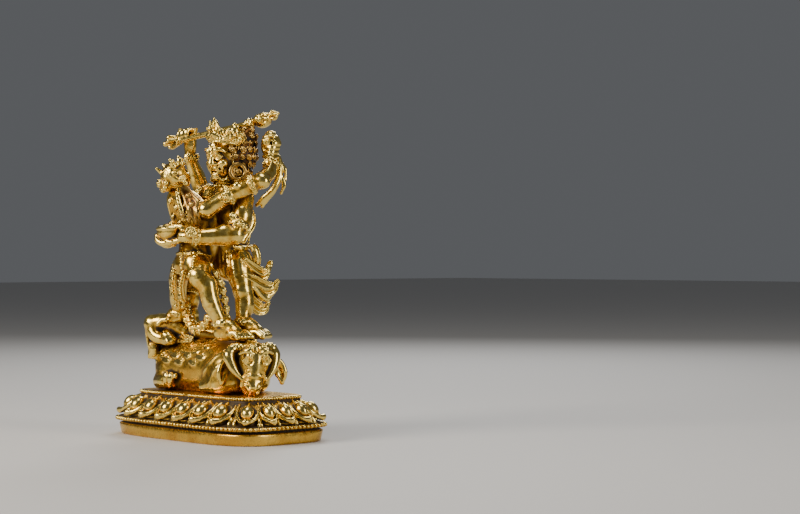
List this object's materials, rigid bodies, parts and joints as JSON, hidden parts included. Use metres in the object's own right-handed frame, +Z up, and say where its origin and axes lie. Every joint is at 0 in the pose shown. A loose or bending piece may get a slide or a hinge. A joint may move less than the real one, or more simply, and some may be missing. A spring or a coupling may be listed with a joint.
{
  "type": "raktayamari figure",
  "caption": "Small gilt-bronze group: a wrathful god and his consort embrace, striding on a prone figure on a buffalo, above an oblong lotus base.",
  "frame": {"origin": "centre of the lotus base's underside, on the surface it stands on", "axes": "+Z up; -Y is the front, the way the god faces; +X is towards the buffalo's head"},
  "size_m": [0.136, 0.075, 0.1899],
  "materials": {
    "gilt_base": "worn fire gilding over bronze, dark in the recesses",
    "gilt_figures": "worn fire gilding over bronze, dark in the recesses"
  },
  "bodies": {
    "root": {"lotus_base": "gilt_base", "figure_group": "gilt_figures"}
  },
  "joints": []
}
